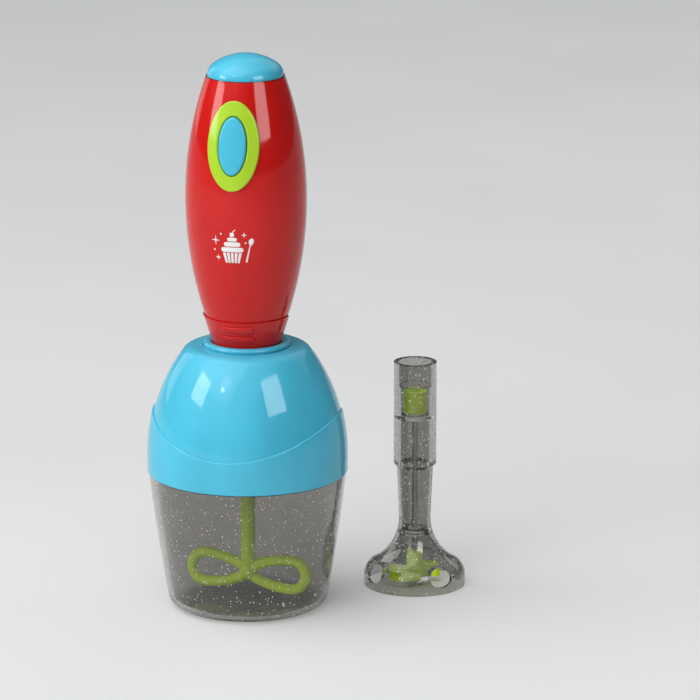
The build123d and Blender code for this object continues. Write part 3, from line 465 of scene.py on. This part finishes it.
def handle_print():
    """White print on the handle's front: a small cake with pleats, a cherry, a spoon and sparkles."""
    points = []
    faces = []
    for k in range(pleat_count):
        place = k - (pleat_count - 1) / 2
        pleat = [(place * x, y) for x, y in (pleat_foot_share, pleat_head_share)]
        stroke(points, faces, pleat, pleat_width_shares)
    for up, half, width in (*swirl_shares, cherry_shares):
        pill(points, faces, 0, up, half, width)
    stroke(points, faces, stem_shares, stem_width_shares)
    stroke(points, faces, spoon_shares, spoon_width_shares)
    stroke(points, faces, spoon_bowl_shares, spoon_bowl_width_shares)
    for x, y, reach in sparkle_shares:
        stroke(points, faces, [(x - reach, y), (x, y), (x + reach, y)], sparkle_width_shares)
        stroke(points, faces, [(x, y - reach), (x, y), (x, y + reach)], sparkle_width_shares)
    for x, y in dot_shares:
        pill(points, faces, x, y, 0, dot_width_share)
    piece = mesh_piece("handle_print", points, faces, print_white, "handle")
    shape = bmesh.new()
    shape.from_mesh(piece.data)
    bmesh.ops.remove_doubles(shape, verts=shape.verts, dist=print_weld)
    shape.to_mesh(piece.data)
    shape.free()
    film = piece.modifiers.new("film", "SOLIDIFY")
    film.thickness = print_film
    film.offset = 0


def flake(points, faces, centre, facing, radius):
    """Adds one thin plate with straight sides."""
    side = facing.orthogonal().normalized()
    up = facing.cross(side)
    low = [len(points) + i for i in range(flake_corners)]
    high = [i + flake_corners for i in low]
    for half in (-flake_thickness / 2, flake_thickness / 2):
        for i in range(flake_corners):
            angle = math.tau * i / flake_corners
            points.append(centre + half * facing + radius * (math.cos(angle) * side + math.sin(angle) * up))
    faces += [tuple(reversed(low)), tuple(high)]
    for i in range(flake_corners):
        after = (i + 1) % flake_corners
        faces.append((low[i], low[after], high[after], high[i]))


def flakes_in(node_name, name, count, body):
    """Silver flakes scattered inside the wall of a clear CAD node, none of them through its surface."""
    mesh = nodes[node_name].data
    mesh.calc_loop_triangles()
    surface = surface_of(node_name)
    triangles = [([mesh.vertices[i].co for i in t.vertices], t.normal.copy()) for t in mesh.loop_triangles]
    picks = chance.choices(triangles, weights=[t.area for t in mesh.loop_triangles], k=count)
    points = []
    faces = []
    for corners, normal in picks:
        u = math.sqrt(chance.random())
        v = chance.random()
        place = corners[0] * (1 - u) + corners[1] * (u * (1 - v)) + corners[2] * (u * v)
        facing = (normal + Vector([chance.gauss(0, flake_tilt) for _ in range(3)])).normalized()
        radius = chance.uniform(flake_low, flake_high)
        centre = place - normal * flake_depth
        if surface.find_nearest(centre)[3] > radius:
            flake(points, faces, centre, facing, radius)
    mesh_piece(name, points, faces, silver, body)


def soft_dome():
    """Rubber dome under the button, shaped round the axis along which the button is pressed."""
    press = next(j for j in frame["record"]["behaviour"]["joints"] if j["name"] == "button_press")
    outward = -Vector(press["axis"])
    corners = [v.co for v in nodes["rubber_dome"].data.vertices]
    heights = [c.dot(outward) for c in corners]
    foot = min(heights)
    height = max(heights) - foot
    low, high = (Vector(c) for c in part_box("rubber_dome"))
    middle = (low + high) / 2
    base = middle + (foot - middle.dot(outward)) * outward
    side = outward.orthogonal().normalized()
    up = outward.cross(side)
    radius = max(((c - base) - (c - base).dot(outward) * outward).length for c in corners)
    points = []
    faces = []
    rows = len(dome_profile_shares)
    pill_pole = dome_sides * rows
    top_pole = pill_pole + 1
    for i in range(dome_sides):
        angle = math.tau * i / dome_sides
        spoke = math.cos(angle) * side + math.sin(angle) * up
        points += [base + r * radius * spoke + h * height * outward for r, h in dome_profile_shares]
        here = i * rows
        after = (i + 1) % dome_sides * rows
        faces += [(here + j, after + j, after + j + 1, here + j + 1) for j in range(rows - 1)]
        faces.append((pill_pole, after, here))
        faces.append((top_pole, here + rows - 1, after + rows - 1))
    points += [base + dome_profile_shares[j][1] * height * outward for j in (0, -1)]
    dome = mesh_piece("soft_dome", points, faces, looks["silicone"], "handle")
    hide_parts("rubber_dome")
    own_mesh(dome)


def view_direction(azimuth, elevation):
    """Unit vector from the object towards a viewer; azimuth 0 is in front, 90 on the right."""
    a = math.radians(azimuth)
    e = math.radians(elevation)
    return Vector((math.sin(a) * math.cos(e), -math.cos(a) * math.cos(e), math.sin(e)))


def pale_floor():
    """Plain pale floor under the object."""
    corners = [(-floor_reach, -floor_reach), (floor_reach, -floor_reach)]
    corners += [(floor_reach, floor_reach), (-floor_reach, floor_reach)]
    mesh = bpy.data.meshes.new("floor")
    mesh.from_pydata([(x, y, -floor_drop) for x, y in corners], [], [(0, 1, 2, 3)])
    material, tree, shader = shader_material("pale_floor")
    tone = noise(tree, *floor_noise)
    tree.links.new(two_tone(tree, tone, floor_colour, floor_tone_share), shader.inputs["Base Color"])
    tree.links.new(spread(tree, tone, *floor_gloss), shader.inputs["Roughness"])
    mesh.materials.append(material)
    floor = bpy.data.objects.new("floor", mesh)
    scene.collection.objects.link(floor)


def softbox(name, azimuth, elevation, wide, tall, distance, brightness):
    """Makes a rectangular lamp that faces the object."""
    data = bpy.data.lights.new(name, "AREA")
    data.shape = "RECTANGLE"
    data.size = 2 * distance * math.tan(math.radians(wide / 2))
    data.size_y = 2 * distance * math.tan(math.radians(tall / 2))
    data.energy = brightness * math.pi * data.size * data.size_y
    lamp = bpy.data.objects.new(name, data)
    lamp.visible_camera = False
    scene.collection.objects.link(lamp)
    towards = view_direction(azimuth, elevation)
    lamp.location = Vector(lamp_target) + distance * towards
    lamp.rotation_euler = (-towards).to_track_quat("-Z", "Y").to_euler()
    return lamp


def studio_lamps():
    """Soft lamps all round, and those that only reflect, only fill or only reach the green pieces."""
    for name, values in softboxes.items():
        softbox(name, *values)
    for name, values in cards.items():
        softbox(name, *values).visible_diffuse = False
    for name, values in fills.items():
        softbox(name, *values).visible_glossy = False
    green_pieces = bpy.data.collections.new("green_pieces")
    for part in subparts:
        if part["material_slot"] == "green_pp":
            green_pieces.objects.link(nodes[part["node"]])
    for name, values in green_lamps.items():
        softbox(name, *values).light_linking.receiver_collection = green_pieces


def surround():
    """Pale sky, brightest in one direction."""
    world = bpy.data.worlds.new("surround")
    world.use_nodes = True
    tree = world.node_tree
    direction = tree.nodes.new("ShaderNodeTexCoord")
    along = tree.nodes.new("ShaderNodeVectorMath")
    along.operation = "DOT_PRODUCT"
    along.inputs[1].default_value = view_direction(sky_azimuth, sky_elevation)
    tree.links.new(direction.outputs["Generated"], along.inputs[0])
    background = tree.nodes["Background"]
    rise = spread(tree, along.outputs["Value"], *sky_brightness, sky_range)
    tree.links.new(rise, background.inputs["Strength"])
    background.inputs["Color"].default_value = (*sky_colour, 1.0)
    scene.world = world
    scene.view_settings.view_transform = "Standard"


def photo_camera():
    """Camera at the photograph's angle and framing."""
    towards = view_direction(view_azimuth, view_elevation)
    a = math.radians(view_azimuth)
    aim = Vector((aim_right * math.cos(a), aim_right * math.sin(a), aim_height))
    data = bpy.data.cameras.new("camera")
    data.sensor_width = millimetres_in_metre * sensor_width
    data.lens = data.sensor_width * view_distance / view_width
    camera = bpy.data.objects.new("camera", data)
    scene.collection.objects.link(camera)
    camera.location = aim + view_distance * towards
    camera.rotation_euler = (-towards).to_track_quat("-Z", "Y").to_euler()
    scene.camera = camera


handle_print()
flakes_in("mixing_bowl", "bowl_flakes", bowl_flake_count, "bowl")
flakes_in("wand_housing", "wand_flakes", wand_flake_count, "wand")
soft_dome()
pale_floor()
studio_lamps()
surround()
photo_camera()
